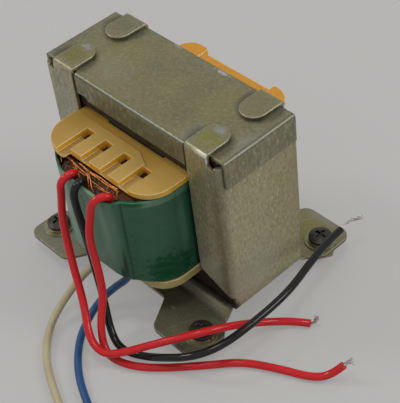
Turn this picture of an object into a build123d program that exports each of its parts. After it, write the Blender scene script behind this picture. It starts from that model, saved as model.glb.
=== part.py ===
from build123d import *
from math import pi, radians, tan
import os

# Chassis-mount laminated transformer: an interleaved E-I core with a wound bobbin, held by a folded
# lower frame with joggled feet and an upper cover that four folded tabs hold down. Millimetres, +Z up,
# X along the core, Y through the lamination stack, origin on the mounting plane below the screw tips.

# Sheet steel
sheet = 1.0
bend_inside = 0.3
bend_outside = bend_inside + sheet

# Screws, washers and nuts in the feet
screw_inset = 2.9
screw_reach = 8.2
shank_radius = 1.75
shank_chamfer = 0.4
point_radius = 1.55
point_gap = 0.1
screw_hole_radius = 2.0
thread_past_nut = 2.3
nut_height = 2.9
nut_flats = 7.9
nut_chamfer = 0.35
flat_washer_radius = 4.6
flat_washer_thickness = 0.4
lock_washer_radius = 3.7
lock_washer_thickness = 0.6
lock_washer_split = 0.6
head_radius = 3.4
head_side = 0.9
head_height = 1.7
recess_length = 3.8
recess_width = 0.9
recess_depth = 1.0
bore_fit = 0.1

# Core: E and I laminations in packs that alternate end for end
tongue = 22.0
window_width = 11.0
side_leg = 10.8
yoke = 10.0
window_height = 32.0
stack = 24.6
packs = 6
core_fit = 0.3
stack_fit = 0.55

# Lower frame
joggle_rise = 3.3
joggle_radius = 1.4
riser_run = 2.4
riser_lead = 1.45
neck_inset = 1.7
flare_lead = 0.3
flare_length = 4.4
foot_outset = 2.15
foot_length = 15.8
foot_inner_front = 19.5
foot_inner_root = 13.7
web_length = 6.0
foot_corner = 3.2
web_corner = 2.0
flare_corner = 1.5
column_width = 11.8
column_gap_inner = 9.0
column_gap_outer = 4.3
column_drop = 0.8
tab_width = 7.9
tab_reach = 10.9
tab_relief = 1.2

# Upper cover
cover_fit = 0.1
cover_depth_fit = 0.3
cover_bend = 1.1
end_flange_drop = 8.4
side_flange_drop = 7.3
cover_column_gap = 0.6
cover_corner_gap = 0.55
corner_cut_width = 4.1
corner_cut_height = 1.0
corner_cut_slope = 0.5

# Bobbin
tongue_fit = 0.2
bobbin_wall = 1.0
window_fit = 0.2
flange_side_gap = 1.0
upper_flange = 1.6
upper_raise = 0.5
upper_collar = 0.5
collar_inset = 0.9
collar_corner = 7.5
lower_flange = 1.2
lower_step = 1.5
lower_rim = 2.5
rim_gap = 0.6
lower_inset = 0.1
lobe_front_reach = 16.4
lobe_front_radius = 8.6
chord_front_reach = 14.2
chord_left = 10.3
right_lobe_radius = 8.0
lobe_back_reach = 14.5
left_back_radius = 5.0
right_back_radius = 7.0
chord_back_reach = 12.8
chord_back_half = 13.0
lobe_nose = 0.8
platform_gap = 2.75
platform_end = 4.8
platform_bevel = 4.9
slot_pitch = 7.6
slot_width = 3.3
slot_gap = 5.7
slot_depth = 1.6
slot_hole = 2.5

# Windings and wrapping: build in the window, at the front and at the back, and corner radius
layer_gap = 0.05
winding_end_gap = 0.1
primary_side_build = 4.05
primary_front_build = 7.95
primary_back_build = 6.95
primary_corner = 8.0
barrier = 0.4
secondary_side_build = 3.1
secondary_front_build = 8.3
secondary_back_build = 4.2
secondary_corner = 13.3
tape = 0.7
side_skirt = 2.7
front_skirt = 1.4
front_skirt_half = 15.5
front_skirt_slope = 5.0
opening_left = 13.5
opening_right = 9.2
opening_slope = 3.2
opening_depth = 2.6
ledge_back = 0.4
ledge_right = 11.0
upper_ledge_depth = 5.2
lower_ledge_left = 6.5
lower_ledge_right = 12.5
lower_ledge_depth = 2.4

# Leads
lead_radius = 1.1
lead_seat = 0.15
strand_radius = 0.5
bend_share = 0.45

# Levels that follow from the sizes above
foot_under = thread_past_nut + nut_height
foot_top = foot_under + sheet
plate_under = foot_under + joggle_rise
plate_top = plate_under + sheet
core_top = plate_top + 2 * yoke + window_height
cover_top = core_top + sheet
tab_top = cover_top + sheet
column_top = core_top - column_drop
core_half = tongue / 2 + window_width + side_leg
end_inner = core_half + core_fit
end_outer = end_inner + sheet
column_inner = stack / 2 + stack_fit
column_outer = column_inner + sheet
column_edge = end_outer - column_width
column_low_inner = plate_top + column_gap_inner
column_low_outer = plate_top + column_gap_outer
flat_half = column_outer - bend_outside
riser_foot = column_outer + riser_lead
riser_head = riser_foot - riser_run
flare_start = riser_foot + flare_lead
flare_end = flare_start + flare_length
web_reach = riser_foot + web_length
foot_reach = riser_foot + foot_length
neck_half = end_outer - neck_inset
foot_half_span = end_outer + foot_outset
screw_x = end_outer - screw_inset
screw_y = riser_foot + screw_reach
cover_corner_depth = column_inner - cover_corner_gap
flange_half = tongue / 2 + window_width - flange_side_gap
lobe_front = stack / 2 + lobe_front_reach
chord_front = stack / 2 + chord_front_reach
lobe_back = stack / 2 + lobe_back_reach
chord_back = stack / 2 + chord_back_reach
platform_back = stack / 2 + platform_gap
slot_inner = stack / 2 + slot_gap
rim_back = stack / 2 + rim_gap
ledge_front = chord_front - ledge_back
upper_flange_top = core_top - yoke - window_fit - upper_raise
upper_flange_under = upper_flange_top - upper_flange
collar_under = upper_flange_under - upper_collar
lower_flange_under = plate_top + yoke + window_fit
lower_flange_top = lower_flange_under + lower_flange
rim_top = lower_flange_under - lower_step
rim_under = rim_top - lower_rim
winding_low = lower_flange_top + winding_end_gap
winding_high = collar_under - winding_end_gap
tube_half_x = tongue / 2 + tongue_fit + bobbin_wall
tube_half_y = stack / 2 + tongue_fit + bobbin_wall
primary_half = tube_half_x + layer_gap + primary_side_build
primary_front = tube_half_y + layer_gap + primary_front_build
primary_back = tube_half_y + layer_gap + primary_back_build
barrier_in = layer_gap
barrier_out = barrier_in + barrier
secondary_in = barrier_out + layer_gap
secondary_half = primary_half + secondary_in + secondary_side_build
secondary_front = primary_front + secondary_in + secondary_front_build
secondary_back = primary_back + secondary_in + secondary_back_build
tape_in = layer_gap
tape_out = tape_in + tape

os.makedirs("parts", exist_ok=True)


def finish(piece, label):
    """Label the piece and write it to its own file."""
    piece.part.label = label
    export_step(piece.part, "parts/" + label + ".step")


# Lower frame: the feet, risers and bottom plate are one strip folded across the depth, the ends fold
# up from the bottom plate, and the columns with their tabs fold in from the ends
with BuildPart() as lower_frame:
    with BuildSketch(Plane.YZ):
        with BuildLine():
            FilletPolyline(
                (-foot_reach, foot_top),
                (-riser_foot, foot_top),
                (-riser_head, plate_top),
                (riser_head, plate_top),
                (riser_foot, foot_top),
                (foot_reach, foot_top),
                radius=joggle_radius,
            )
            offset(amount=sheet, side=Side.RIGHT)
        make_face()
    extrude(amount=foot_half_span, both=True)
    with BuildSketch() as foot_plan:
        with BuildLine():
            Polyline(
                (-neck_half, 0),
                (-neck_half, -flare_start),
                (-foot_half_span, -flare_end),
                (-foot_half_span, -foot_reach),
                (-foot_inner_front, -foot_reach),
                (-foot_inner_root, -web_reach),
                (foot_inner_root, -web_reach),
                (foot_inner_front, -foot_reach),
                (foot_half_span, -foot_reach),
                (foot_half_span, -flare_end),
                (neck_half, -flare_start),
                (neck_half, 0),
                close=True,
            )
        make_face()
        fillet(foot_plan.vertices().group_by(Axis.Y)[0], radius=foot_corner)
        fillet(foot_plan.vertices().filter_by_position(Axis.Y, -web_reach, -web_reach), radius=web_corner)
        fillet(foot_plan.vertices().filter_by_position(Axis.Y, -flare_end, -flare_start), radius=flare_corner)
        mirror(about=Plane.XZ)
    extrude(amount=plate_top, mode=Mode.INTERSECT)

    # End plates, bent up from the bottom plate
    with BuildSketch(Plane.XZ):
        with BuildLine():
            FilletPolyline(
                (-end_outer, column_low_inner),
                (-end_outer, plate_under),
                (end_outer, plate_under),
                (end_outer, column_low_inner),
                radius=bend_outside,
            )
            offset(amount=sheet, side=Side.LEFT)
        make_face()
    extrude(amount=flat_half, both=True)

    # Columns: each end plate's two edges fold in over the core's corners
    with BuildSketch(Plane.XY.offset(column_low_outer)):
        with BuildLine():
            FilletPolyline(
                (column_edge, -column_outer),
                (end_outer, -column_outer),
                (end_outer, column_outer),
                (column_edge, column_outer),
                radius=bend_outside,
            )
            offset(amount=sheet, side=Side.LEFT)
        make_face()
        mirror(about=Plane.YZ)
    extrude(amount=column_top - column_low_outer)
    for side in (1, -1):
        with BuildSketch(Plane.XZ.offset(side * flat_half)):
            with BuildLine():
                Polyline(
                    (column_edge, column_low_outer),
                    (column_edge, column_low_inner),
                    (end_outer, column_low_outer),
                    close=True,
                )
            make_face()
            mirror(about=Plane.YZ)
        extrude(amount=side * bend_outside, mode=Mode.SUBTRACT)

    # Tabs: the columns' tops fold over the cover and end round
    for tab_start in (column_edge, -column_edge - tab_width):
        with BuildSketch(Plane.YZ.offset(tab_start)):
            with BuildLine():
                FilletPolyline(
                    (-column_outer, column_top - sheet),
                    (-column_outer, tab_top),
                    (tab_reach - column_outer, tab_top),
                    radius=bend_outside,
                )
                offset(amount=sheet, side=Side.RIGHT)
            make_face()
            mirror(about=Plane.YZ)
        extrude(amount=tab_width)
    with BuildSketch(Plane.XY.offset(cover_top)):
        for side in (1, -1):
            tip_centre = side * (column_outer - tab_reach + tab_width / 2)
            with Locations(
                (column_edge + tab_width / 2, tip_centre), (-column_edge - tab_width / 2, tip_centre)
            ):
                tip_align = (Align.CENTER, Align.MAX if side > 0 else Align.MIN)
                Rectangle(tab_width, tab_width / 2, align=tip_align)
                Circle(tab_width / 2, mode=Mode.SUBTRACT)
    extrude(amount=sheet, mode=Mode.SUBTRACT)
    with BuildSketch(Plane.XZ):
        relief_x = column_edge + tab_width + tab_relief
        with Locations((relief_x, column_top), (-relief_x, column_top)):
            Circle(tab_relief)
    extrude(amount=column_outer, both=True, mode=Mode.SUBTRACT)

    # Screw holes in the feet
    with Locations(Plane.XY.offset(foot_top)):
        with GridLocations(2 * screw_x, 2 * screw_y, 2, 2):
            Hole(radius=screw_hole_radius)
finish(lower_frame, "lower_frame")

# Upper cover: a tray turned over, with end flanges outside the end plates and front and back flanges
# between the columns, each cut back at its left end as seen from outside
cover_end = end_outer + cover_fit + sheet
cover_side = stack / 2 + cover_depth_fit + sheet
cover_side_length = column_edge - cover_column_gap
end_flange_low = cover_top - end_flange_drop
side_flange_low = cover_top - side_flange_drop
with BuildPart() as upper_cover:
    with BuildSketch(Plane.XZ):
        with BuildLine():
            FilletPolyline(
                (-cover_end, end_flange_low),
                (-cover_end, cover_top),
                (cover_end, cover_top),
                (cover_end, end_flange_low),
                radius=cover_bend,
            )
            offset(amount=sheet, side=Side.RIGHT)
        make_face()
    extrude(amount=cover_corner_depth, both=True)
    with BuildSketch(Plane.YZ):
        with BuildLine():
            FilletPolyline(
                (-cover_side, side_flange_low),
                (-cover_side, cover_top),
                (cover_side, cover_top),
                (cover_side, side_flange_low),
                radius=cover_bend,
            )
            offset(amount=sheet, side=Side.RIGHT)
        make_face()
    extrude(amount=cover_side_length, both=True)
    for side in (1, -1):
        with BuildSketch(Plane.XZ):
            with BuildLine():
                Polyline(
                    (side * cover_side_length, side_flange_low),
                    (side * cover_side_length, side_flange_low + corner_cut_height),
                    (side * (cover_side_length - corner_cut_width), side_flange_low + corner_cut_height),
                    (side * (cover_side_length - corner_cut_width - corner_cut_slope), side_flange_low),
                    close=True,
                )
            make_face()
        extrude(amount=-side * cover_side, mode=Mode.SUBTRACT)
finish(upper_cover, "upper_cover")

# Core: packs of E laminations point up and down in turn, each closed by a pack of I laminations
pack = stack / packs
window_centre = tongue / 2 + window_width / 2
with BuildPart() as e_laminations:
    for index in range(packs):
        points_up = index % 2 == 0
        back_low = plate_top if points_up else core_top - yoke
        legs_low = plate_top + yoke
        with BuildSketch(Plane.XZ.offset(stack / 2 - index * pack)):
            with Locations((0, back_low)):
                Rectangle(2 * core_half, yoke, align=(Align.CENTER, Align.MIN))
            with Locations((0, legs_low)):
                Rectangle(tongue, window_height, align=(Align.CENTER, Align.MIN))
            leg_centre = core_half - side_leg / 2
            with Locations((leg_centre, legs_low), (-leg_centre, legs_low)):
                Rectangle(side_leg, window_height, align=(Align.CENTER, Align.MIN))
        extrude(amount=-pack)
finish(e_laminations, "e_laminations")

with BuildPart() as i_laminations:
    for index in range(packs):
        points_up = index % 2 == 0
        bar_low = core_top - yoke if points_up else plate_top
        with BuildSketch(Plane.XZ.offset(stack / 2 - index * pack)):
            with Locations((0, bar_low)):
                Rectangle(2 * core_half, yoke, align=(Align.CENTER, Align.MIN))
        extrude(amount=-pack)
finish(i_laminations, "i_laminations")

# Bobbin flange in plan: two lobes at each end with a straight edge between them
with BuildSketch() as flange_plan:
    with BuildLine():
        Polyline(
            (-flange_half, -lobe_front),
            (-chord_left, -lobe_front),
            (-chord_left, -chord_front),
            (flange_half, -chord_front),
            (flange_half, lobe_back),
            (chord_back_half, lobe_back),
            (chord_back_half, chord_back),
            (-chord_back_half, chord_back),
            (-chord_back_half, lobe_back),
            (-flange_half, lobe_back),
            close=True,
        )
    make_face()
    fillet(flange_plan.vertices().group_by(Axis.Y)[0].sort_by(Axis.X)[0], radius=lobe_front_radius)
    fillet(flange_plan.vertices().group_by(Axis.Y)[0].sort_by(Axis.X)[-1], radius=lobe_nose)
    fillet(flange_plan.vertices().group_by(Axis.X)[-1].sort_by(Axis.Y)[0], radius=right_lobe_radius)
    fillet(flange_plan.vertices().group_by(Axis.Y)[-1].sort_by(Axis.X)[1:3], radius=lobe_nose)
    fillet(flange_plan.vertices().group_by(Axis.Y)[-1].sort_by(Axis.X)[0], radius=left_back_radius)
    fillet(flange_plan.vertices().group_by(Axis.Y)[-1].sort_by(Axis.X)[-1], radius=right_back_radius)

# Raised on the upper flange: the platform with its tongues, the left lobe and the back lobes
with BuildSketch() as raised_plan:
    with BuildLine():
        Polyline(
            (-flange_half, -platform_back),
            (platform_end, -platform_back),
            (platform_end + platform_bevel, -platform_back - platform_bevel / 2),
            (1.5 * slot_pitch - slot_width / 2, -slot_inner),
            (1.5 * slot_pitch - slot_width / 2, -lobe_front),
            (-flange_half, -lobe_front),
            close=True,
        )
    make_face()
    lobe_width = flange_half - chord_back_half
    with Locations((-flange_half, lobe_back)):
        Rectangle(lobe_width, lobe_back - platform_back, align=(Align.MIN, Align.MAX))
    with Locations((flange_half, lobe_back)):
        Rectangle(lobe_width, lobe_back - platform_back, align=(Align.MAX, Align.MAX))
    add(flange_plan.sketch, mode=Mode.INTERSECT)

# Lower flange in plan, inside the tape, then its step and its rim on both sides of the core
with BuildSketch() as lower_plan:
    with Locations((0, (secondary_back - secondary_front) / 2)):
        RectangleRounded(
            2 * (secondary_half - lower_inset),
            secondary_front + secondary_back - 2 * lower_inset,
            secondary_corner - lower_inset,
        )
    add(flange_plan.sketch, mode=Mode.INTERSECT)

with BuildSketch() as step_plan:
    add(lower_plan.sketch)
    Rectangle(2 * flange_half, 2 * rim_back, mode=Mode.SUBTRACT)

with BuildSketch() as rim_plan:
    add(flange_plan.sketch)
    Rectangle(2 * flange_half, 2 * rim_back, mode=Mode.SUBTRACT)

# Lead slots in plan: four channels from the coil out to the front edge
with BuildSketch() as slot_plan:
    with Locations((0, -slot_inner)):
        with GridLocations(slot_pitch, 0, 4, 1):
            Rectangle(slot_width, lobe_front - slot_inner, align=(Align.CENTER, Align.MAX))

# Bobbin: tube round the tongue, two flanges, raised seats, slots and holes for the wire ends
with BuildPart() as bobbin:
    extrude(flange_plan.sketch.moved(Location((0, 0, upper_flange_under))), amount=upper_flange)
    extrude(raised_plan.sketch.moved(Location((0, 0, upper_flange_top))), amount=upper_raise)
    with BuildSketch(Plane.XY.offset(collar_under)):
        with Locations((0, (chord_back - chord_front) / 2)):
            RectangleRounded(
                2 * (flange_half - collar_inset), chord_front + chord_back - 2 * collar_inset, collar_corner
            )
    extrude(amount=upper_collar)
    extrude(lower_plan.sketch.moved(Location((0, 0, lower_flange_under))), amount=lower_flange)
    extrude(step_plan.sketch.moved(Location((0, 0, rim_top))), amount=lower_step)
    extrude(rim_plan.sketch.moved(Location((0, 0, rim_under))), amount=lower_rim)
    with BuildSketch(Plane.XY.offset(lower_flange_under)):
        Rectangle(2 * tube_half_x, 2 * tube_half_y)
    extrude(amount=upper_flange_top - lower_flange_under)
    with BuildSketch(Plane.XY.offset(lower_flange_under)):
        Rectangle(tongue + 2 * tongue_fit, stack + 2 * tongue_fit)
    extrude(amount=upper_flange_top - lower_flange_under, mode=Mode.SUBTRACT)
    slot_floor = upper_flange_top + upper_raise - slot_depth
    extrude(slot_plan.sketch.moved(Location((0, 0, slot_floor))), amount=slot_depth, mode=Mode.SUBTRACT)
    extrude(
        slot_plan.sketch.moved(Location((0, 0, rim_under))), amount=lower_rim + lower_step, mode=Mode.SUBTRACT
    )
    with BuildSketch(Plane.XY.offset(lower_flange_under)):
        with Locations((0, -slot_inner - slot_hole / 2)):
            with GridLocations(slot_pitch, 0, 4, 1):
                Rectangle(slot_width, slot_hole)
    extrude(amount=slot_floor - lower_flange_under, mode=Mode.SUBTRACT)
finish(bobbin, "bobbin")

# Windings: the primary next to the tube, a wrap of insulation, then the secondary, which bulges out of
# the window at the front and at the back and is cut down to ledges where the leads start
winding_height = winding_high - winding_low
with BuildPart() as primary_winding:
    with BuildSketch(Plane.XY.offset(winding_low)):
        with Locations((0, (primary_back - primary_front) / 2)):
            RectangleRounded(2 * primary_half, primary_front + primary_back, primary_corner)
        Rectangle(2 * (tube_half_x + layer_gap), 2 * (tube_half_y + layer_gap), mode=Mode.SUBTRACT)
    extrude(amount=winding_height)
finish(primary_winding, "primary_winding")

with BuildPart() as winding_insulation:
    with BuildSketch(Plane.XY.offset(winding_low)):
        with Locations((0, (primary_back - primary_front) / 2)):
            RectangleRounded(
                2 * (primary_half + barrier_out),
                primary_front + primary_back + 2 * barrier_out,
                primary_corner + barrier_out,
            )
            RectangleRounded(
                2 * (primary_half + barrier_in),
                primary_front + primary_back + 2 * barrier_in,
                primary_corner + barrier_in,
                mode=Mode.SUBTRACT,
            )
    extrude(amount=winding_height)
finish(winding_insulation, "winding_insulation")

with BuildPart() as secondary_winding:
    with BuildSketch(Plane.XY.offset(winding_low)):
        with Locations((0, (secondary_back - secondary_front) / 2)):
            RectangleRounded(2 * secondary_half, secondary_front + secondary_back, secondary_corner)
        with Locations((0, (primary_back - primary_front) / 2)):
            RectangleRounded(
                2 * (primary_half + secondary_in),
                primary_front + primary_back + 2 * secondary_in,
                primary_corner + secondary_in,
                mode=Mode.SUBTRACT,
            )
    extrude(amount=winding_height)
    ledge_width = secondary_front - ledge_front
    with BuildSketch(Plane.XZ.offset(ledge_front)):
        with Locations(((ledge_right - opening_left) / 2, winding_high)):
            Rectangle(ledge_right + opening_left, upper_ledge_depth, align=(Align.CENTER, Align.MAX))
        with Locations(((lower_ledge_right - lower_ledge_left) / 2, winding_low)):
            Rectangle(
                lower_ledge_right + lower_ledge_left, lower_ledge_depth, align=(Align.CENTER, Align.MIN)
            )
    extrude(amount=ledge_width, mode=Mode.SUBTRACT)
finish(secondary_winding, "secondary_winding")

# Outer tape: a wrap over the secondary, open at the top of the front where the leads come out, with a
# skirt that hangs over the lower flange in front of the core and is shorter along the front
tape_half = secondary_half + tape_out
skirt_low = winding_low - side_skirt
front_low = winding_low - front_skirt
with BuildPart() as outer_tape:
    with BuildSketch(Plane.XY.offset(skirt_low)):
        with Locations((0, (secondary_back - secondary_front) / 2)):
            RectangleRounded(
                2 * tape_half, secondary_front + secondary_back + 2 * tape_out, secondary_corner + tape_out
            )
            RectangleRounded(
                2 * (secondary_half + tape_in),
                secondary_front + secondary_back + 2 * tape_in,
                secondary_corner + tape_in,
                mode=Mode.SUBTRACT,
            )
    extrude(amount=winding_height + side_skirt)
    with BuildSketch(Plane.XY.offset(skirt_low)):
        with Locations((0, -rim_back)):
            Rectangle(2 * tape_half, rim_back + secondary_back + tape_out, align=(Align.CENTER, Align.MIN))
    extrude(amount=side_skirt, mode=Mode.SUBTRACT)
    with BuildSketch(Plane.XZ.offset(rim_back)):
        with BuildLine():
            Polyline(
                (-front_skirt_half - front_skirt_slope, skirt_low),
                (-front_skirt_half, front_low),
                (front_skirt_half, front_low),
                (front_skirt_half + front_skirt_slope, skirt_low),
                close=True,
            )
        make_face()
    extrude(amount=secondary_front + tape_out - rim_back, mode=Mode.SUBTRACT)
    with BuildSketch(Plane.XZ.offset(ledge_front)):
        with BuildLine():
            Polyline(
                (-opening_left - opening_slope, winding_high),
                (-opening_left, winding_high - opening_depth),
                (opening_right, winding_high - opening_depth),
                (opening_right + opening_slope, winding_high),
                close=True,
            )
        make_face()
    extrude(amount=secondary_front + tape_out - ledge_front, mode=Mode.SUBTRACT)
finish(outer_tape, "outer_tape")

# Screws: pan heads with a crossed recess, on a lock washer and a flat washer, with a nut below the foot
# and a slimmer lead point past the nut
lock_low = foot_top + flat_washer_thickness
head_low = lock_low + lock_washer_thickness
point_cone = shank_radius - point_radius
point_length = thread_past_nut - point_gap - point_cone
with BuildPart() as one_screw:
    with BuildSketch(Plane.XZ):
        with BuildLine():
            Polyline(
                (0, head_low + head_height),
                (0, 0),
                (point_radius - shank_chamfer, 0),
                (point_radius, shank_chamfer),
                (point_radius, point_length),
                (shank_radius, point_length + point_cone),
                (shank_radius, head_low),
                (head_radius, head_low),
                (head_radius, head_low + head_side),
            )
            TangentArc((0, head_low + head_height), (head_radius, head_low + head_side), tangent=(1, 0))
        make_face()
    revolve(axis=Axis.Z)
    with BuildSketch(Plane.XY.offset(head_low + head_height)):
        Rectangle(recess_length, recess_width)
        Rectangle(recess_width, recess_length)
    extrude(amount=-recess_depth, mode=Mode.SUBTRACT)

with BuildPart() as mounting_screws:
    with GridLocations(2 * screw_x, 2 * screw_y, 2, 2):
        add(one_screw.part)
finish(mounting_screws, "mounting_screws")

with BuildPart() as lock_washers:
    with BuildSketch(Plane.XY.offset(lock_low)):
        with GridLocations(2 * screw_x, 2 * screw_y, 2, 2):
            Circle(lock_washer_radius)
            Circle(shank_radius + bore_fit, mode=Mode.SUBTRACT)
            Rectangle(
                lock_washer_radius, lock_washer_split, align=(Align.MIN, Align.CENTER), mode=Mode.SUBTRACT
            )
    extrude(amount=lock_washer_thickness)
finish(lock_washers, "lock_washers")

with BuildPart() as flat_washers:
    with BuildSketch(Plane.XY.offset(foot_top)):
        with GridLocations(2 * screw_x, 2 * screw_y, 2, 2):
            Circle(flat_washer_radius)
            Circle(shank_radius + bore_fit, mode=Mode.SUBTRACT)
    extrude(amount=flat_washer_thickness)
finish(flat_washers, "flat_washers")

with BuildPart() as nuts:
    with BuildSketch(Plane.XY.offset(thread_past_nut)):
        with GridLocations(2 * screw_x, 2 * screw_y, 2, 2):
            RegularPolygon(nut_flats / 2, 6, major_radius=False)
    extrude(amount=nut_height)
    chamfer(nuts.edges().group_by(Axis.Z)[0], length=nut_chamfer)
    with BuildSketch(Plane.XY.offset(thread_past_nut)):
        with GridLocations(2 * screw_x, 2 * screw_y, 2, 2):
            Circle(shank_radius + bore_fit)
    extrude(amount=nut_height, mode=Mode.SUBTRACT)
finish(nuts, "nuts")


def arc_radii(points):
    """Each corner's radius is a share of its shorter run over the tangent of half the turn."""
    radii = []
    for before, corner, after in zip(points, points[1:], points[2:]):
        run_in = Vector(corner) - Vector(before)
        run_out = Vector(after) - Vector(corner)
        half_turn = radians(run_in.get_angle(run_out)) / 2
        radii.append(bend_share * min(run_in.length, run_out.length) / tan(half_turn))
    return radii


def swept(points, radius, label):
    """A round lead along straight runs joined by tangent arcs."""
    radii = arc_radii(points)
    with BuildPart() as piece:
        with BuildLine() as route:
            FilletPolyline(*points, radius=radii)
        with BuildSketch(Plane(origin=route.wires()[0] @ 0, z_dir=route.wires()[0] % 0)):
            Circle(radius)
        sweep(path=route.wires()[0])
    length = route.wires()[0].length
    expected = pi * radius**2 * length
    print(label, "length", round(length, 1), "least radius", round(min(radii), 1))
    print("   volume over section times length", round(piece.part.volume / expected, 4))
    finish(piece, label)


upper_ledge = winding_high - upper_ledge_depth + lead_seat
lower_ledge = winding_low + lower_ledge_depth - lead_seat

# Upper leads come up from the ledge, loop over the tape's edge and hang down in front of the coil
swept(
    [
        (-6.0, -27.9, upper_ledge),
        (-5.9, -27.95, 46.4),
        (-5.9, -30.6, 47.95),
        (-6.4, -33.2, 46.3),
        (-7.4, -33.7, 41.8),
        (-8.0, -34.8, 33.5),
        (-4.0, -37.4, 22.5),
        (3.6, -41.0, 12.6),
        (9.6, -45.4, 7.2),
        (14.8, -46.0, 5.2),
        (18.8, -43.6, 5.6),
        (24.7, -36.1, 7.6),
        (34.2, -26.8, 11.9),
        (36.9, -17.6, 9.0),
        (38.7, -8.7, 4.1),
        (43.8, -0.8, 1.6),
        (47.6, 1.6, 1.5),
    ],
    lead_radius,
    "red_lead_left",
)
swept([(47.6, 1.6, 1.5), (48.9, 2.421, 1.466), (48.7, 2.9, 4.2)], strand_radius, "red_lead_left_strands")
swept(
    [
        (8.2, -27.9, upper_ledge),
        (8.4, -28.0, 46.4),
        (7.5, -30.5, 47.95),
        (6.1, -32.8, 46.4),
        (4.9, -34.0, 42.0),
        (4.3, -35.4, 34.0),
        (6.2, -35.8, 24.5),
        (8.0, -37.0, 16.0),
        (9.4, -40.8, 8.6),
        (12.6, -43.4, 3.0),
        (17.2, -43.6, 1.4),
        (25.6, -39.6, 1.4),
        (36.8, -27.8, 1.4),
        (43.0, -20.4, 1.4),
        (52.0, -15.4, 1.4),
        (60.6, -11.6, 1.4),
        (64.2, -8.0, 2.4),
        (66.0, -5.5, 5.6),
    ],
    lead_radius,
    "red_lead_right",
)
swept([(66.0, -5.5, 5.6), (66.7, -4.5, 6.8), (67.3, -3.4, 6.6)], strand_radius, "red_lead_right_strands")
swept(
    [
        (-2.6, -27.9, upper_ledge),
        (-2.4, -28.0, 46.4),
        (-1.9, -30.6, 47.9),
        (-1.4, -33.1, 46.2),
        (-1.1, -33.6, 41.5),
        (-0.5, -33.4, 32.5),
        (0.2, -33.3, 22.5),
        (4.2, -35.0, 10.8),
        (10.4, -38.8, 3.0),
        (15.8, -39.8, 1.4),
        (21.9, -37.7, 2.0),
        (28.5, -36.0, 5.3),
        (36.8, -32.4, 9.1),
        (41.2, -24.8, 10.6),
        (41.9, -12.0, 11.1),
        (41.4, 0.2, 11.3),
        (38.2, 12.5, 11.2),
        (36.4, 21.7, 11.1),
        (35.8, 27.1, 10.7),
    ],
    lead_radius,
    "black_lead",
)
swept(
    [(35.8, 27.1, 10.7), (35.633, 28.6, 10.589), (35.9, 31.8, 11.7), (36.6, 35.0, 10.3)],
    strand_radius,
    "black_lead_strands",
)

# Lower leads come down between the coil and the lower flange and run forward over the surface
swept(
    [
        (-3.0, -28.65, lower_ledge),
        (-3.1, -28.9, 19.0),
        (-4.0, -30.2, 14.4),
        (-7.0, -34.2, 9.8),
        (-7.6, -42.0, 4.6),
        (-5.4, -49.0, 1.4),
        (2.0, -56.0, 1.4),
        (13.5, -61.8, 1.4),
        (25.4, -66.2, 1.4),
    ],
    lead_radius,
    "cream_lead",
)
swept([(25.4, -66.2, 1.4), (28.0, -67.2, 1.4), (30.4, -68.0, 1.2)], strand_radius, "cream_lead_strands")
swept(
    [
        (10.2, -28.42, lower_ledge),
        (10.0, -28.5, 19.4),
        (8.2, -29.2, 15.6),
        (4.2, -30.4, 11.0),
        (0.6, -33.4, 6.0),
        (0.4, -38.8, 2.4),
        (4.4, -46.0, 1.4),
        (12.5, -53.0, 1.4),
        (22.4, -57.8, 1.4),
        (31.8, -61.2, 1.4),
    ],
    lead_radius,
    "blue_lead",
)
swept([(31.8, -61.2, 1.4), (34.3, -62.2, 1.4), (36.7, -63.0, 1.2)], strand_radius, "blue_lead_strands")
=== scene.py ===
import bpy
import numpy as np
from mathutils import Matrix, Vector


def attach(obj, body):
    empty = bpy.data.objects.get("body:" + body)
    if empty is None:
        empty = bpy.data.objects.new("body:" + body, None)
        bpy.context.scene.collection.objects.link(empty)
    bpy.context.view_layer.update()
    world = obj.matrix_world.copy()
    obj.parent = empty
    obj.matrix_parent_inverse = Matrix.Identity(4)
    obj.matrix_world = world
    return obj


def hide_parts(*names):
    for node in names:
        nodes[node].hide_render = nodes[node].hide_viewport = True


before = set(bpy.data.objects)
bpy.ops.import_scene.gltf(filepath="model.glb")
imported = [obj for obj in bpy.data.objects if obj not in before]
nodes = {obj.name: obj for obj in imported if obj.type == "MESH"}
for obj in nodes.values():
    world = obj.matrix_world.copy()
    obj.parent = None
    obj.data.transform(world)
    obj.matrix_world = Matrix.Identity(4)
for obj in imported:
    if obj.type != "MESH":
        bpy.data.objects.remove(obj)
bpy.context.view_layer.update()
mm = 0.001
print("frame loaded with", len(nodes), "nodes")


def inMetres(values):
    return tuple(value * mm for value in values)


def linkObject(name, data):
    made = bpy.data.objects.new(name, data)
    bpy.context.scene.collection.objects.link(made)
    return made


# camera: its place in metres and the three ways it is turned
cameraView = {
    "place": (0.1984, -0.14814, 0.25429),
    "right": (0.68164, 0.72522, -0.09708),
    "up": (-0.45765, 0.5261, 0.71679),
    "back": (0.5709, -0.44416, 0.6905),
    "lens": 107.47,
    "sensor": 36.0,
    "nearest": 0.01,
}


def placeCamera():
    data = bpy.data.cameras.new("viewCamera")
    data.sensor_fit = "HORIZONTAL"
    data.sensor_width = cameraView["sensor"]
    data.lens = cameraView["lens"]
    data.clip_start = cameraView["nearest"]
    camera = linkObject("viewCamera", data)
    columns = [cameraView[key] for key in ("right", "up", "back", "place")]
    camera.matrix_world = Matrix([*zip(*columns), (0, 0, 0, 1)])
    bpy.context.scene.camera = camera


placeCamera()
print("camera placed")


# shader helpers; a socket's id_data is the tree that it is in
def put(tree, kind, settings=None, values=None):
    made = tree.nodes.new(kind)
    for key, value in (settings or {}).items():
        setattr(made, key, value)
    for key, value in (values or {}).items():
        made.inputs[key].default_value = value
    return made


def join(source, target):
    source.id_data.links.new(source, target)


# a number or a colour is set on the socket, another node's output is linked to it
def fill(socket, value):
    if isinstance(value, (int, float)):
        socket.default_value = value
    elif isinstance(value, tuple):
        socket.default_value = (*value, 1)
    else:
        join(value, socket)


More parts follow.
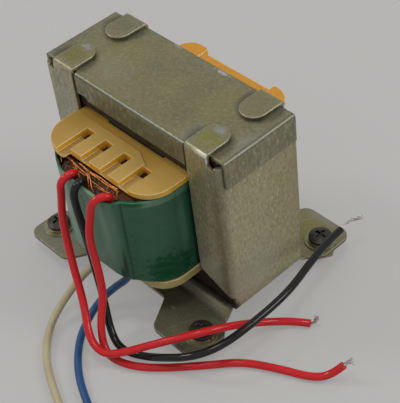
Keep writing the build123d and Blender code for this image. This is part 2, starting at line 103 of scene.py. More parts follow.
def noiseAt(point, scale, detail, rough=0.55):
    noise = put(point.id_data, "ShaderNodeTexNoise", values={"Detail": detail, "Roughness": rough})
    join(point, noise.inputs["Vector"])
    fill(noise.inputs["Scale"], scale)
    return noise.outputs[0]


# a value that goes from low to high becomes one that goes from toLow to toHigh, and stays within them
def ramped(value, low, high, toLow=0.0, toHigh=1.0):
    reach = {"From Min": low, "From Max": high, "To Min": toLow, "To Max": toHigh}
    ramp = put(value.id_data, "ShaderNodeMapRange", {"clamp": True}, reach)
    join(value, ramp.inputs["Value"])
    return ramp.outputs["Result"]


mixSockets = {"share": 0, "first": 6, "second": 7, "result": 2}  # where a Mix node keeps its colours


def blended(mask, first, second):
    mix = put(mask.id_data, "ShaderNodeMix", {"data_type": "RGBA"})
    join(mask, mix.inputs[mixSockets["share"]])
    fill(mix.inputs[mixSockets["first"]], first)
    fill(mix.inputs[mixSockets["second"]], second)
    return mix.outputs[mixSockets["result"]]


def sumOf(kind, operation, first, second):
    linked = second if isinstance(first, float) else first
    made = put(linked.id_data, kind, {"operation": operation})
    for socket, value in zip(made.inputs, (first, second)):
        if value is not None:
            fill(socket, value)
    return made.outputs


def mathOf(operation, first, second=None):
    return sumOf("ShaderNodeMath", operation, first, second)[0]


def vectorOf(operation, first, second=None):
    return sumOf("ShaderNodeVectorMath", operation, first, second)


def times(first, second):
    return mathOf("MULTIPLY", first, second)


def axesOf(vector):
    split = put(vector.id_data, "ShaderNodeSeparateXYZ")
    join(vector, split.inputs[0])
    return split.outputs


def faceNormal(socket):
    return put(socket.id_data, "ShaderNodeNewGeometry").outputs["True Normal"]


# effects that several finishes share, each a node group
effectValues = {
    # noise: detail and roughness
    "wideNoise": (5, 0.62),
    "fineNoise": (3, 0.6),
    "markNoise": (2, 0.55),
    "fleckNoise": (3, 0.6),
    "spotNoise": (5, 0.7),
    "mottleShares": (0.6, 0.4),
    "mottleRange": (0.36, 0.64),
    "markSoft": 0.09,
    "fleckLight": (0.52, 0.68),
    "fleckDark": (0.47, 0.32),
    "spotGrain": 800,
    "edgeLean": (0.97, 0.80),
    "edgeSamples": 6,
}
origin = (0, 0, 0)


# inputs are labels with their first values, outputs are labels; only a normal comes out as a vector
def newGroup(name, inputs, outputs):
    group = bpy.data.node_groups.new(name, "ShaderNodeTree")
    for label, value in inputs.items():
        kind = "NodeSocketVector" if isinstance(value, tuple) else "NodeSocketFloat"
        group.interface.new_socket(label, in_out="INPUT", socket_type=kind).default_value = value
    for label in outputs:
        kind = "NodeSocketVector" if label == "Normal" else "NodeSocketFloat"
        group.interface.new_socket(label, in_out="OUTPUT", socket_type=kind)
    return group, group.nodes.new("NodeGroupInput").outputs, group.nodes.new("NodeGroupOutput").inputs


# plateMottle: a share of wide blotches plus a share of fine grain, stretched to the full range
def makePlateMottle():
    group, source, target = newGroup(
        "plateMottle", {"Point": origin, "Blotch": 160.0, "Grain": 1500.0}, ["Tone", "Grain"]
    )
    wide = noiseAt(source["Point"], source["Blotch"], *effectValues["wideNoise"])
    fine = noiseAt(source["Point"], source["Grain"], *effectValues["fineNoise"])
    wideShare, fineShare = effectValues["mottleShares"]
    both = mathOf("ADD", times(wide, wideShare), times(fine, fineShare))
    join(ramped(both, *effectValues["mottleRange"]), target["Tone"])
    join(fine, target["Grain"])
    return group


# drawMarks: noise turned and stretched along one way, cut to thin lines
def makeDrawMarks():
    group, source, target = newGroup(
        "drawMarks",
        {"Point": origin, "Turn": origin, "Stretch": (1000, 1000, 100), "Start": 0.58},
        ["Mask"],
    )
    turned = put(group, "ShaderNodeVectorRotate", {"rotation_type": "EULER_XYZ"})
    join(source["Point"], turned.inputs["Vector"])
    join(source["Turn"], turned.inputs["Rotation"])
    scaled = vectorOf("MULTIPLY", turned.outputs[0], source["Stretch"])["Vector"]
    noise = noiseAt(scaled, 1.0, *effectValues["markNoise"])
    past = mathOf("SUBTRACT", noise, source["Start"])
    join(ramped(past, 0.0, effectValues["markSoft"]), target["Mask"])
    return group


# flecks: stretched noise, its high parts light and its low parts dark
def makeFlecks():
    group, source, target = newGroup(
        "flecks", {"Point": origin, "Stretch": (900, 900, 420)}, ["Light", "Dark", "Height"]
    )
    scaled = vectorOf("MULTIPLY", source["Point"], source["Stretch"])["Vector"]
    noise = noiseAt(scaled, 1.0, *effectValues["fleckNoise"])
    join(ramped(noise, *effectValues["fleckLight"]), target["Light"])
    join(ramped(noise, *effectValues["fleckDark"]), target["Dark"])
    join(noise, target["Height"])
    return group


# rubbedSpot: one minus the distance from a centre over a size, plus ragged noise, over a softness
def makeRubbedSpot():
    group, source, target = newGroup(
        "rubbedSpot",
        {"Point": origin, "Centre": origin, "Size": (0.002, 0.002, 0.002), "Ragged": 1.0, "Soft": 0.5},
        ["Mask"],
    )
    away = vectorOf("SUBTRACT", source["Point"], source["Centre"])["Vector"]
    shrunk = vectorOf("DIVIDE", away, source["Size"])["Vector"]
    reach = vectorOf("LENGTH", shrunk)["Value"]
    noise = noiseAt(source["Point"], effectValues["spotGrain"], *effectValues["spotNoise"])
    rag = times(mathOf("SUBTRACT", noise, 0.5), source["Ragged"])
    inside = mathOf("ADD", mathOf("SUBTRACT", 1.0, reach), rag)
    join(ramped(mathOf("DIVIDE", inside, source["Soft"]), 0.0, 1.0), target["Mask"])
    return group


# softEdge: the rounded normal of an edge, and how far it leans from the flat one
def makeSoftEdge():
    group, source, target = newGroup("softEdge", {"Reach": 0.0003}, ["Mask", "Normal"])
    bevel = put(group, "ShaderNodeBevel", {"samples": effectValues["edgeSamples"]})
    join(source["Reach"], bevel.inputs["Radius"])
    lean = vectorOf("DOT_PRODUCT", bevel.outputs[0], faceNormal(source["Reach"]))["Value"]
    join(ramped(lean, *effectValues["edgeLean"]), target["Mask"])
    join(bevel.outputs[0], target["Normal"])
    return group


effects = {
    "plateMottle": makePlateMottle(),
    "drawMarks": makeDrawMarks(),
    "flecks": makeFlecks(),
    "rubbedSpot": makeRubbedSpot(),
    "softEdge": makeSoftEdge(),
}


def useEffect(point, name, values):
    made = put(point.id_data, "ShaderNodeGroup", {"node_tree": effects[name]}, values)
    if "Point" in made.inputs:
        join(point, made.inputs["Point"])
    return made.outputs


def softEdge(point, look):
    return useEffect(point, "softEdge", {"Reach": look["edgeReach"]})


def newFinish(name, values):
    material = bpy.data.materials.new(name)
    material.use_nodes = True
    tree = material.node_tree
    tree.nodes.clear()
    output = put(tree, "ShaderNodeOutputMaterial")
    shader = put(tree, "ShaderNodeBsdfPrincipled", values=values)
    join(shader.outputs[0], output.inputs["Surface"])
    point = put(tree, "ShaderNodeTexCoord").outputs["Object"]
    return material, shader, point


# a finish starts as two of its colours, blended by the tone of its blotches and its grain
def startFinish(name, look, first, second):
    material, shader, point = newFinish(name, look["body"])
    blotch, grain = look["mottle"]
    mottle = useEffect(point, "plateMottle", {"Blotch": blotch, "Grain": grain})
    return material, shader, point, mottle, blended(mottle["Tone"], look[first], look[second])


# it ends with its colour, a roughness that goes with a tone from a first value to a second, and a bump
def endFinish(shader, look, colour, tone, height, normal=None):
    join(colour, shader.inputs["Base Color"])
    join(ramped(tone, 0.0, 1.0, *look["rough"]), shader.inputs["Roughness"])
    strength, depth = look["bump"]
    bump = put(shader.id_data, "ShaderNodeBump", values={"Strength": strength, "Distance": depth})
    join(height, bump.inputs["Height"])
    if normal is not None:
        join(normal, bump.inputs["Normal"])
    join(bump.outputs[0], shader.inputs["Normal"])


# spots: each spot's mask times its share blends its tint in, in the order of the list; a spot is a tint,
# a share, a place and a size in millimetres, how ragged it is and how soft
def addSpots(point, colour, look, spots):
    for tint, share, place, size, ragged, soft in spots:
        values = {"Centre": inMetres(place), "Size": inMetres(size), "Ragged": ragged, "Soft": soft}
        mask = useEffect(point, "rubbedSpot", values)["Mask"]
        colour = blended(times(mask, share), colour, look[tint])
    return colour


# the same spot at both ends and on both sides, once where it lies on the middle
def mirrored(tint, share, place, size, ragged, soft):
    x, y, z = place
    return [
        (tint, share, (endWay * x, sideWay * y, z), size, ragged, soft)
        for endWay in ((-1, 1) if x else (1,))
        for sideWay in ((-1, 1) if y else (1,))
    ]


# bands: a tint comes in up to a share as one axis goes from a first level to a last; a band is a tint, an
# axis, the two levels and the share
def addBands(axes, colour, look, bands, unit=1.0):
    for tint, axis, first, last, share in bands:
        mask = ramped(axes[axis], first * unit, last * unit, 0.0, share)
        colour = blended(mask, colour, look[tint])
    return colour


# plated sheet steel: olive plating in broad blotches with the spots of the dictionary, then painted shade
# that darkens the level faces, then flecks, draw marks and pale broken edges that are partly wear and partly
# painted highlight, and last the spots that lie over them, many of them painted shade, painted shadow and
# painted glints
def makePlatedSteel(name, plate):
    material, shader, point, mottle, colour = startFinish(name, plate, "dull", "pale")
    patch = ramped(noiseAt(point, *plate["patch"]), *plate["patchRange"])
    colour = blended(patch, colour, plate["straw"])
    colour = addSpots(point, colour, plate, plate["spots"])
    facing = plate["facing"]
    lean = axesOf(faceNormal(point))
    level = mathOf("ABSOLUTE", lean["Z"])
    broad = mathOf("ABSOLUTE", lean["Y"])
    # painted shade: level faces take a share of the dark level tone
    colour = blended(ramped(level, *facing, 0.0, plate["levelShadeShare"]), colour, plate["levelShadeTone"])
    fleck = useEffect(point, "flecks", {"Stretch": plate["fleckStretch"]})
    fleckShare = ramped(broad, *facing, plate["fleckEnd"], plate["fleckSide"])
    fleckShare = blended(ramped(level, *facing), fleckShare, (plate["fleckTop"],) * 3)
    colour = blended(times(fleck["Light"], fleckShare), colour, plate["fleckPale"])
    colour = blended(times(fleck["Dark"], fleckShare), colour, plate["fleckDark"])
    for tint, turn, stretch, start, side, top in plate["marks"]:
        values = {"Turn": turn, "Stretch": stretch, "Start": start}
        drawn = useEffect(point, "drawMarks", values)["Mask"]
        share = ramped(level, *facing, side, top)
        colour = blended(times(drawn, share), colour, plate[tint])
    # pale broken edges above the feet: partly wear, partly a painted highlight along the edges
    edge = softEdge(point, plate)
    broken = ramped(noiseAt(point, *plate["edgeGrain"]), *plate["edgeBroken"])
    wearAndHighlight = times(edge["Mask"], broken)
    aboveFeet = ramped(axesOf(point)["Z"], *inMetres(plate["edgeAbove"]))
    wearAndHighlight = times(times(wearAndHighlight, aboveFeet), plate["edgeShare"])
    colour = blended(wearAndHighlight, colour, plate["wearAndHighlight"])
    colour = addSpots(point, colour, plate, plate["overSpots"])
    endFinish(shader, plate, colour, mottle["Tone"], fleck["Height"], edge["Normal"])
    return material


framePlate = {
    "body": {"Metallic": 0.62, "IOR": 1.6},
    "dull": (0.31, 0.29, 0.168),
    "pale": (0.40, 0.377, 0.235),
    "straw": (0.385, 0.345, 0.165),
    "dim": (0.29, 0.258, 0.128),
    "green": (0.37, 0.335, 0.06),
    "moss": (0.29, 0.255, 0.04),
    "cool": (0.29, 0.3, 0.26),
    "cooler": (0.215, 0.225, 0.185),
    "olive": (0.24, 0.215, 0.10),
    "grime": (0.165, 0.165, 0.12),
    # the next two tints are painted shade: dark for shaded places and darker for deep shadow
    "shade": (0.085, 0.082, 0.062),
    "paintedDeepShade": (0.016, 0.015, 0.011),
    "grey": (0.34, 0.345, 0.315),
    "ash": (0.48, 0.49, 0.41),
    "bare": (0.56, 0.57, 0.67),
    # pale edge tint, partly wear and partly painted highlight
    "wearAndHighlight": (0.80, 0.78, 0.66),
    # painted glint
    "paintedGlint": (0.97, 0.97, 0.95),
    "fleckPale": (0.56, 0.54, 0.38),
    "fleckDark": (0.15, 0.14, 0.085),
    "scratch": (0.16, 0.155, 0.11),
    # painted shade for the level faces, and its share
    "levelShadeTone": (0.12, 0.11, 0.048),
    "levelShadeShare": 0.58,
    "facing": (0.4, 0.8),
    "rough": (0.34, 0.44),
    "bump": (0.22, 0.00012),
    "mottle": (120, 1300),
    "patch": (55, 3),
    "patchRange": (0.44, 0.64, 0.0, 0.75),
    "fleckStretch": (1500, 1400, 820),
    "fleckSide": 0.55,
    "fleckEnd": 0.52,
    "fleckTop": 0.16,
    "edgeReach": 0.00045,
    "edgeShare": 0.6,
    "edgeGrain": (420, 4, 0.65),
    "edgeBroken": (0.36, 0.56, 0.15, 1.0),
    "edgeAbove": (9, 13),
    # draw marks: tint, turn, stretch, where they start, share on upright faces and on level ones
    "marks": [
        ("scratch", (0, 0.35, 0), (1500, 1500, 200), 0.6, 0.3, 0.1),
        ("grey", (0, 0, 0.5), (1700, 150, 1700), 0.58, 0, 0.3),
    ],
    "spots": [
        # the four tabs
        ("green", 0.9, (26.4, -8.8, 63.5), (4.6, 4.4, 0.8), 1, 0.6),
        ("moss", 0.9, (-27.4, -8.6, 63.5), (4.6, 4.2, 0.8), 1, 0.6),
        ("bare", 0.85, (26.2, -4.7, 63.5), (2.3, 1.4, 0.6), 2.6, 0.6),
        ("bare", 0.85, (-27, -4.2, 63.5), (2.2, 1.1, 0.6), 2.6, 0.6),
        ("dim", 0.4, (26.2, 8.6, 63.5), (5, 6, 0.8), 0.9, 0.7),
        ("grime", 0.5, (-26.2, 8.6, 63.5), (5, 6, 0.8), 0.9, 0.7),
        # the feet
        ("green", 0.8, (27.5, 24, 6.2), (9, 6.5, 0.8), 0.8, 0.5),
        ("bare", 0.3, (25, 30.2, 6.2), (9, 1.9, 0.8), 2, 0.6),
        ("cool", 0.85, (-27.5, -24, 6.2), (13, 11, 1.2), 0.4, 0.4),
        ("cooler", 0.85, (26, -23, 6.2), (18, 12, 1.4), 0.2, 0.3),
        ("wearAndHighlight", 0.9, (18.3, -22.4, 6.2), (1, 0.3, 0.5), 0.4, 0.3),
        # the right end plate, darker along its bottom and its back edge
        ("grime", 0.6, (34.1, 0, 8.4), (1.6, 18, 4.4), 1.2, 0.8),
        ("pale", 0.6, (34.1, -7.5, 26), (2, 9, 30), 0.3, 0.8),
        ("dim", 0.6, (34.1, 8, 40), (2, 8, 30), 0.4, 1),
        ("grime", 0.45, (34.1, 13.6, 34), (1.6, 1.8, 60), 0.3, 0.9),
        # the front columns
        ("olive", 0.75, (27, -13.9, 52), (8, 1.2, 17), 0.5, 0.8),
        ("grey", 0.5, (27, -13.9, 20), (8, 1.2, 18), 0.5, 0.9),
        ("grey", 0.6, (-28, -13.9, 40), (9, 1.6, 40), 0.4, 0.8),
    ],
    "overSpots": [
        # painted shade over the riser between the front feet and the bottom plate, where the coil overhangs
        # it
        ("paintedDeepShade", 0.98, (8, -12.6, 10.2), (36, 2.6, 3.3), 0.1, 0.25),
        ("shade", 0.85, (8, -14.8, 7.2), (26, 2.6, 2.6), 0.1, 0.5),
        # the front right corner with painted shade on its bend, a painted highlight on its tab's bend, the
        # end plate and the column beside it
        ("shade", 0.5, (33, -13.4, 40), (3.7, 2.4, 80), 0.1, 0.8),
        ("wearAndHighlight", 0.8, (28.4, -14.1, 63.2), (4.6, 1.1, 1.1), 0.6, 0.5),
        ("ash", 0.4, (34.1, -6, 18), (2, 15, 11), 0.6, 0.8),
        ("dim", 0.5, (34.1, 13, 40), (2, 5, 26), 0.6, 0.8),
        ("ash", 0.6, (26, -14.2, 18), (7, 1.4, 12), 0.6, 0.7),
        ("olive", 0.4, (26.5, -14.2, 58.5), (7, 1.4, 5), 0.6, 0.6),
        # painted glints on the cut rims of the corner reliefs, painted shadow in the gaps beside the cover,
        # painted shade on the rims of the tabs and of the feet
        *mirrored("paintedGlint", 0.95, (31.4, 13.7, 61.6), (1.7, 0.75, 1.7), 0.2, 0.3),
        *mirrored("paintedDeepShade", 0.95, (21.8, 13.7, 58), (0.6, 0.9, 9), 0.1, 0.4),
        *mirrored("shade", 0.9, (26.4, 7.5, 62.75), (9, 6.5, 0.62), 0.1, 0.3),
        *mirrored("shade", 0.85, (27, 25, 5.55), (22, 14, 0.55), 0.1, 0.3),
    ],
}

coverPlate = dict(
    framePlate,
    body={"Metallic": 0.85, "IOR": 1.6},
    dull=(0.185, 0.178, 0.106),
    pale=(0.30, 0.286, 0.178),
    straw=(0.27, 0.24, 0.104),
    wearAndHighlight=(0.70, 0.70, 0.63),
    bend=(0.135, 0.135, 0.11),
    front=(0.165, 0.21, 0.155),
    levelShadeShare=0.0,
    bump=(0.12, 0.00012),
    mottle=(70, 1300),
    patch=(34, 3),
    fleckStretch=(1200, 1200, 420),
    fleckEnd=0.4,
    fleckTop=0.2,
    edgeShare=0.28,
    marks=[
        ("scratch", (0, 0.5, 0), (1500, 1500, 170), 0.55, 0.5, 0),
        ("grey", (0, -0.1, 0), (1900, 1900, 160), 0.56, 0.5, 0),
        ("scratch", (0, 0, 0.7), (1300, 110, 1300), 0.6, 0, 0.2),
        ("grey", (0, 0, -0.5), (150, 1500, 1500), 0.62, 0, 0.25),
    ],
    spots=[
        # the top
        ("straw", 0.55, (6, 4, 62.5), (24, 12, 1.5), 0.5, 1.2),
        ("grey", 0.3, (-16, -6, 62.5), (10, 8, 1.5), 0.5, 1),
        ("grey", 0.4, (20.5, -10, 62.5), (3, 6, 1), 0.6, 0.8),
        ("grey", 0.35, (33, -4, 62.5), (3.5, 8, 1), 0.6, 0.8),
        ("scratch", 0.4, (13.6, -7.6, 62.5), (3.4, 1.6, 0.8), 3, 0.8),
        # the rear edge, rubbed bare
        ("bare", 0.8, (-8.4, 13.1, 62.3), (2.2, 1, 1.2), 2.4, 0.5),
        ("bare", 0.8, (8.8, 12.6, 62.3), (3, 1.2, 1.2), 2.4, 0.5),
        ("bare", 0.6, (22, 13.3, 62.2), (1.8, 0.8, 1), 2, 0.5),
        # the front flange, darker towards its bottom
        ("grime", 0.8, (0, -13.6, 57), (30, 1.4, 4.6), 0.6, 0.5),
    ],
    overSpots=[
        # painted shadow in rings round the tabs, the four bends, and painted shadow in the gaps beside the
        # columns
        *mirrored("shade", 0.65, (26.4, 9, 62.5), (7.4, 6.9, 1), 0.5, 0.22),
        *mirrored("bend", 0.85, (34.9, 0, 62.4), (1, 40, 1), 1.5, 0.5),
        *mirrored("bend", 0.85, (0, 13.5, 62.4), (80, 1, 1), 1.5, 0.5),
        *mirrored("paintedDeepShade", 0.95, (22, 13.7, 58), (0.85, 1.4, 9), 0.1, 0.4),
        # the front and rear flanges
        ("front", 0.55, (6, -13.9, 58.6), (26, 1.2, 4.6), 0.8, 0.6),
        ("front", 0.55, (6, 13.9, 58.6), (26, 1.2, 4.6), 0.8, 0.6),
    ],
)


# core: thin dark lines across the stack, one for each lamination, with a little waver
coreStack = {
    "body": {"Metallic": 0.55},
    "pitch": 0.5,
    "waver": 0.12,
    "waverNoise": (240, 2),
    "gapFrom": (0.7, 0.92),
    "sheet": (0.034, 0.03, 0.022),
    "gap": (0.008, 0.007, 0.005),
    "rust": (0.038, 0.02, 0.01),
    "rough": (0.36, 0.62),
    "bump": (0.4, 0.00008),
    "mottle": (240, 1600),
}


def makeCoreSteel(look):
    material, shader, point, mottle, colour = startFinish("laminationSteel", look, "sheet", "rust")
    waver = times(noiseAt(point, *look["waverNoise"]), look["waver"] * mm)
    shifted = mathOf("ADD", axesOf(point)["Y"], waver)
    saw = mathOf("FRACT", times(shifted, 1.0 / (look["pitch"] * mm)))
    line = ramped(saw, *look["gapFrom"])
    colour = blended(line, colour, look["gap"])
    endFinish(shader, look, colour, mottle["Tone"], mathOf("SUBTRACT", 1.0, line))
    return material


# bobbin: cloudy amber moulding, paler on its raised tops, with painted shade in its slots, a painted glow of
# light through its walls and its rear flange, and a painted highlight along its edges that face right
bobbinMould = {
    "body": {
        "Subsurface Weight": 0.45, "Subsurface Radius": (1.0, 0.6, 0.12), "Subsurface Scale": 0.0016,
        "IOR": 1.5,
    },
    "cloud": (0.43, 0.258, 0.052),
    "deep": (0.37, 0.21, 0.027),
    "raised": (0.455, 0.295, 0.08),
    "lobe": (0.52, 0.335, 0.085),
    "paintedSlotShade": (0.36, 0.22, 0.055),
    "paintedWallGlow": (0.74, 0.42, 0.025),
    "glow": (0.78, 0.36, 0.02),
    "side": (0.56, 0.35, 0.06),
    "rear": (0.55, 0.25, 0.008),
    "lower": (0.40, 0.355, 0.155),
    "rim": (1.0, 0.9, 0.6),
    # levels in millimetres
    "flangeBands": [
        ("raised", "Z", 50.95, 51.2, 0.6),
        # painted shade in the slot floors
        ("paintedSlotShade", "Z", 50.4, 49.9, 0.8),
        ("deep", "X", -11, -17, 0.7),
        ("lobe", "X", 8, 15, 0.6),
        # painted glow of light through the rear flange
        ("rear", "Y", 12, 20, 1),
    ],
    "lowerBands": [("lower", "Z", 30, 22, 0.85)],
    # how far a face's normal goes along an axis
    "upright": (0.75, 0.35, 0.0, 0.85),
    # painted glow of light through the walls that face right and the walls that face front
    "wallBands": [("paintedWallGlow", "X", 0.9, 0.97, 0.9), ("glow", "Y", -0.9, -0.97, 0.8)],
    "rimShare": (0.1, 0.4, 0.45, 1.0),
    "edgeReach": 0.00036,
    "rough": (0.3, 0.42),
    "bump": (0.12, 0.00005),
    "mottle": (70, 900),
}


def makeBobbinMould(look):
    material, shader, point, mottle, colour = startFinish("amberMoulding", look, "cloud", "deep")
    axes = axesOf(point)
    lean = axesOf(faceNormal(point))
    colour = addBands(axes, colour, look, look["flangeBands"], mm)
    # painted glow: upright faces take a more orange tint for light through the thin walls
    upright = ramped(mathOf("ABSOLUTE", lean["Z"]), *look["upright"])
    colour = blended(upright, colour, look["side"])
    colour = addBands(lean, colour, look, look["wallBands"])
    colour = addBands(axes, colour, look, look["lowerBands"], mm)
    edge = softEdge(point, look)
    # painted highlight on the edges that face right
    rimShare = ramped(axesOf(edge["Normal"])["X"], *look["rimShare"])
    colour = blended(times(edge["Mask"], rimShare), colour, look["rim"])
    endFinish(shader, look, colour, mottle["Tone"], mottle["Grain"], edge["Normal"])
    return material


# coil tape: thin glossy green film, with a painted highlight under the right lobe and along its top edge, a
# painted reflection on its front, deep green where it lies wet on the wire and painted shade along its lap,
# in its creases and beside the column
tapeFilm = {
    "body": {"IOR": 1.3},
    "film": (0.024, 0.092, 0.05),
    "pale": (0.038, 0.112, 0.067),
    "deep": (0.001, 0.06, 0.022),
    "paintedCreaseShade": (0.001, 0.022, 0.012),
    "paintedReflection": (0.21, 0.343, 0.253),
    "band": (0.115, 0.215, 0.135),
    "edge": (0.07, 0.26, 0.15),
    # levels in millimetres
    "bandAbove": (46.4, 46.9),
    "bandRight": (14.0, 18.0),
    "bandShare": 0.75,
    "edgeAbove": (47.6, 48.2),
    "edgeShare": 0.6,
    "edgeReach": 0.0002,
    "pullStretch": (60, 60, 700),
    "pullStart": 0.5,
    "pullShare": 0.6,
    "rough": (0.26, 0.36),
    "bump": (0.06, 0.0001),
    "mottle": (60, 500),
    "spots": [
        # painted reflection of the pale floor on the front and at the right
        ("paintedReflection", 0.75, (-2, -31, 35), (14.5, 6, 30), 0, 0.45),
        ("paintedReflection", 0.2, (20.6, -16.4, 36), (1, 1.7, 14), 0, 0.8),
        # painted shade in the lap, the creases and beside the column; the deep green is where it lies wet
        ("paintedCreaseShade", 0.9, (-14.3, -26.9, 47), (2.4, 1.7, 2.4), 0.2, 0.4),
        ("paintedCreaseShade", 0.7, (20, -12.4, 32), (1.6, 2, 60), 0, 0.6),
        ("deep", 1, (18.6, -21, 23.2), (4.6, 8, 6.2), 2.4, 0.25),
        ("deep", 0.9, (15.6, -27.8, 48), (5, 3.4, 1.5), 0.5, 0.5),
        ("paintedCreaseShade", 0.8, (11.5, -30.15, 25), (0.9, 0.9, 7), 0, 0.6),
        ("paintedCreaseShade", 0.85, (10.2, -30.5, 20), (1.3, 1, 5), 0, 0.6),
        ("paintedCreaseShade", 0.7, (12.9, -29.5, 38), (0.5, 0.5, 30), 0, 0.6),
    ],
}


def makeTapeFilm(look):
    material, shader, point, mottle, colour = startFinish("greenFilm", look, "film", "pale")
    axes = axesOf(point)
    # painted highlight: a paler band at the top, under the right lobe
    above = ramped(axes["Z"], *inMetres(look["bandAbove"]))
    right = ramped(axes["X"], *inMetres(look["bandRight"]), 0.0, look["bandShare"])
    colour = blended(times(above, right), colour, look["band"])
    colour = addSpots(point, colour, look, look["spots"])
    # painted highlight along the film's top edge
    edge = softEdge(point, look)
    top = ramped(axes["Z"], *inMetres(look["edgeAbove"]), 0.0, look["edgeShare"])
    colour = blended(times(edge["Mask"], top), colour, look["edge"])
    pullValues = {"Stretch": look["pullStretch"], "Start": look["pullStart"]}
    pull = useEffect(point, "drawMarks", pullValues)["Mask"]
    height = mathOf("ADD", mottle["Grain"], times(pull, look["pullShare"]))
    endFinish(shader, look, colour, mottle["Tone"], height)
    return material


# wound wire under varnish: turns as fine copper ridges, dark between them
coilWire = {
    "body": {"IOR": 1.3, "Coat Weight": 0.15, "Coat Roughness": 0.18},
    "dark": (0.008, 0.0025, 0.001),
    "brown": (0.034, 0.009, 0.003),
    "copper": (0.26, 0.075, 0.016),
    "share": 0.34,
    "metal": 0.5,
    "stretch": (150, 2000, 2200),
    "start": 0.44,
    "rough": (0.25, 0.45),
    "bump": (0.5, 0.0002),
    "mottle": (420, 2200),
}


def makeWoundWire(look):
    material, shader, point, mottle, colour = startFinish("coilWire", look, "dark", "brown")
    turnValues = {"Stretch": look["stretch"], "Start": look["start"]}
    turns = useEffect(point, "drawMarks", turnValues)["Mask"]
    colour = blended(times(turns, look["share"]), colour, look["copper"])
    join(times(turns, look["metal"]), shader.inputs["Metallic"])
    height = mathOf("ADD", turns, mottle["Tone"])
    endFinish(shader, look, colour, mottle["Tone"], height)
    return material


# plain finishes: a mottle of dark and light with pale edges that are partly wear and partly painted highlight
plainFinishes = {
    "blackOxide": {
        "body": {"Metallic": 0.6}, "dark": (0.02, 0.018, 0.014), "light": (0.065, 0.058, 0.046),
        "wearAndHighlight": (0.2, 0.18, 0.145), "rough": (0.3, 0.46), "mottle": (380, 2400), "edgeReach": 0.0002,
        "bump": (0.9, 0.0006), "threaded": True,
    },
    "yellowZinc": {
        "body": {"Metallic": 0.85}, "dark": (0.24, 0.21, 0.12), "light": (0.36, 0.33, 0.22),
        "wearAndHighlight": (0.62, 0.58, 0.44), "rough": (0.3, 0.45), "mottle": (420, 2400), "edgeReach": 0.00015,
    },
    "tinnedStrand": {
        "body": {"Metallic": 1.0}, "dark": (0.36, 0.34, 0.31), "light": (0.72, 0.70, 0.66),
        "wearAndHighlight": (0.8, 0.78, 0.74), "rough": (0.25, 0.42), "mottle": (900, 2400), "edgeReach": 0.00003,
    },
    "copperStrand": {
        "body": {"Metallic": 0.9}, "dark": (0.36, 0.105, 0.022), "light": (0.85, 0.36, 0.1),
        "wearAndHighlight": (0.95, 0.55, 0.22), "rough": (0.24, 0.4), "mottle": (500, 2400), "edgeReach": 0.00003,
    },
    "wrapPaper": {
        "body": {"Metallic": 0.0}, "dark": (0.32, 0.23, 0.11), "light": (0.45, 0.35, 0.2),
        "wearAndHighlight": (0.5, 0.4, 0.25), "rough": (0.5, 0.7), "mottle": (260, 2400), "edgeReach": 0.0001,
    },
}
plainSkin = {"wearAndHighlightShare": 0.6, "bump": (0.2, 0.00005)}
screwThread = {"pitch": 0.6, "below": (6.2, 6.0), "grainShare": 0.1}


# thread: how far the height over the pitch is from the half turn, only below the feet's tops
def threadHeight(point, grain):
    height = axesOf(point)["Z"]
    turn = mathOf("FRACT", times(height, 1.0 / (screwThread["pitch"] * mm)))
    ridge = mathOf("ABSOLUTE", mathOf("SUBTRACT", turn, 0.5))
    below = ramped(height, *inMetres(screwThread["below"]))
    return mathOf("ADD", times(grain, screwThread["grainShare"]), times(ridge, below))


def makePlainFinish(name, look):
    look = dict(plainSkin, **look)
    material, shader, point, mottle, colour = startFinish(name, look, "dark", "light")
    edge = softEdge(point, look)
    colour = blended(times(edge["Mask"], look["wearAndHighlightShare"]), colour, look["wearAndHighlight"])
    height = threadHeight(point, mottle["Grain"]) if "threaded" in look else mottle["Grain"]
    endFinish(shader, look, colour, mottle["Tone"], height, edge["Normal"])
    return material


# lead insulation: smooth extruded plastic with faint handling marks
insulations = {
    "redSkin": {"main": (0.58, 0.010, 0.014), "faded": (0.49, 0.018, 0.022), "rough": (0.1, 0.18)},
    "blackSkin": {"main": (0.007, 0.007, 0.008), "faded": (0.013, 0.013, 0.014), "rough": (0.09, 0.15)},
    "creamSkin": {"main": (0.46, 0.40, 0.25), "faded": (0.40, 0.345, 0.215), "rough": (0.24, 0.34)},
    "blueSkin": {"main": (0.020, 0.072, 0.19), "faded": (0.03, 0.09, 0.215), "rough": (0.24, 0.34)},
}
insulationSkin = {"body": {"IOR": 1.36}, "mottle": (130, 1300), "bump": (0.05, 0.0001)}


def makeInsulation(name, skin):
    look = dict(insulationSkin, **skin)
    material, shader, point, mottle, colour = startFinish(name, look, "main", "faded")
    endFinish(shader, look, colour, mottle["Tone"], mottle["Tone"])
    return material


finishes = {
    "framePlate": makePlatedSteel("framePlate", framePlate),
    "coverPlate": makePlatedSteel("coverPlate", coverPlate),
    "laminationSteel": makeCoreSteel(coreStack),
    "amberMoulding": makeBobbinMould(bobbinMould),
    "greenFilm": makeTapeFilm(tapeFilm),
    "coilWire": makeWoundWire(coilWire),
}
finishes.update({name: makePlainFinish(name, look) for name, look in plainFinishes.items()})
finishes.update({name: makeInsulation(name, skin) for name, skin in insulations.items()})

finishNodes = {
    "framePlate": ["lower_frame"],
    "coverPlate": ["upper_cover"],
    "laminationSteel": ["e_laminations", "i_laminations"],
    "amberMoulding": ["bobbin"],
    "coilWire": ["primary_winding", "secondary_winding"],
    "wrapPaper": ["winding_insulation"],
    "blackOxide": ["mounting_screws"],
    "yellowZinc": ["lock_washers", "flat_washers", "nuts"],
}
for finish, nodeNames in finishNodes.items():
    for nodeName in nodeNames:
        nodes[nodeName].material_slots[0].material = finishes[finish]
print("finishes made:", len(finishes))


# mesh helpers
def addPiece(name, mesh, finish):
    piece = linkObject(name, mesh)
    mesh.materials.append(finishes[finish])
    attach(piece, "root")
    return piece


